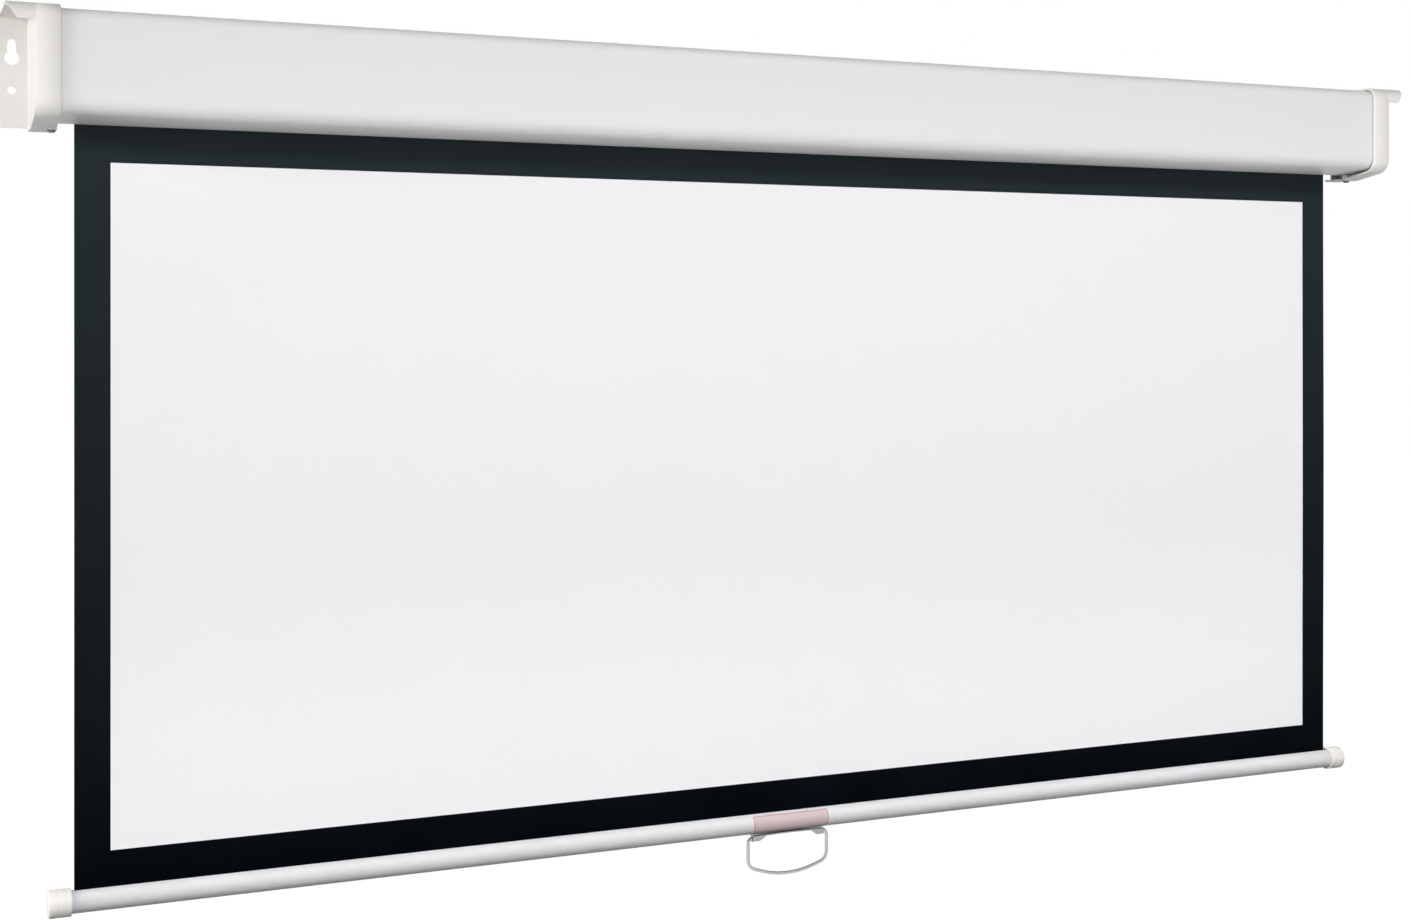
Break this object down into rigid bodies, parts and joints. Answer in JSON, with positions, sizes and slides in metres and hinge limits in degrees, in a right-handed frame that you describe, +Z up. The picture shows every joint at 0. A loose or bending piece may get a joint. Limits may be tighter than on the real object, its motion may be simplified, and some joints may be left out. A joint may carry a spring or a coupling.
{
  "type": "pull down projector screen",
  "caption": "Wall or ceiling projector screen that pulls down from a white steel case, with a spring roller, ratchet, black-bordered white surface, round bottom bar and wire pull handle.",
  "frame": {"origin": "the middle of the case's back, on the wall plane", "axes": "+X along the case to the viewer's right, +Y into the wall, +Z up"},
  "size_m": [1.446, 0.079, 0.7969],
  "materials": {
    "painted_steel": "smooth off-white paint, satin",
    "moulded_plastic": "warm white moulding, satin",
    "white_tube": "white paint, half gloss",
    "white_fabric": "matt white coated screen cloth",
    "black_fabric": "black coated screen cloth, slight sheen",
    "zinc_steel": "bright zinc plate",
    "spring_steel": "oiled spring wire",
    "chrome_wire": "bright plated wire",
    "brass_pawl": "stamped brass, dull",
    "nylon": "natural nylon, smooth"
  },
  "bodies": {
    "case": {"case_shell": "painted_steel", "left_end_cap": "moulded_plastic", "right_end_cap": "moulded_plastic", "left_cap_screw": "zinc_steel", "right_cap_screw": "zinc_steel", "left_bracket": "zinc_steel", "right_bracket": "zinc_steel", "left_bracket_screw_upper": "zinc_steel", "left_bracket_screw_lower": "zinc_steel", "right_bracket_screw_upper": "zinc_steel", "right_bracket_screw_lower": "zinc_steel", "gudgeon_bush": "nylon", "spindle": "zinc_steel", "spring_hub": "nylon", "ratchet_wheel": "zinc_steel", "ratchet_pin": "zinc_steel", "viewing_surface": "white_fabric", "black_border": "black_fabric"},
    "roller": {"roller_tube": "zinc_steel", "fabric_spline": "nylon", "fabric_wrap": "black_fabric", "left_roller_plug": "nylon", "right_roller_plug": "nylon", "gudgeon_pin": "zinc_steel", "spring_anchor": "nylon", "torsion_spring": "spring_steel", "pawl_pin_a": "zinc_steel", "pawl_pin_b": "zinc_steel"},
    "pawl_a": {"pawl_a": "brass_pawl"},
    "pawl_b": {"pawl_b": "brass_pawl"},
    "bottom_bar": {"bottom_tube": "white_tube", "hem_rod": "zinc_steel", "lower_border": "black_fabric", "left_bar_cap": "moulded_plastic", "right_bar_cap": "moulded_plastic", "handle_plate": "zinc_steel", "left_plate_screw": "zinc_steel", "right_plate_screw": "zinc_steel"},
    "handle": {"pull_handle": "chrome_wire"}
  },
  "joints": [
    {"name": "bar_slide", "type": "slide", "parent": "case", "child": "bottom_bar", "axis": [0, 0, 1], "range_m": [0, 0.6291], "deforming": ["viewing_surface", "black_border"]},
    {"name": "roller_turn", "type": "hinge", "parent": "case", "child": "roller", "pos_m": [0, -0.03169, 0.00375], "axis": [1, 0, 0], "range_deg": [0, 2160]},
    {"name": "pawl_a_swing", "type": "hinge", "parent": "roller", "child": "pawl_a", "pos_m": [-0.6724, -0.03169, 0.01475], "axis": [1, 0, 0], "range_deg": [0, 16]},
    {"name": "pawl_b_swing", "type": "hinge", "parent": "roller", "child": "pawl_b", "pos_m": [-0.6724, -0.03169, -0.00725], "axis": [1, 0, 0], "range_deg": [0, 16]},
    {"name": "handle_swing", "type": "hinge", "parent": "bottom_bar", "child": "handle", "pos_m": [0, -0.015, -0.7105], "axis": [1, 0, 0], "range_deg": [-85, 85]}
  ],
  "couplings": [
    {"joint": "roller_turn", "follows": "bar_slide", "rad_per_m": 59.925}
  ]
}
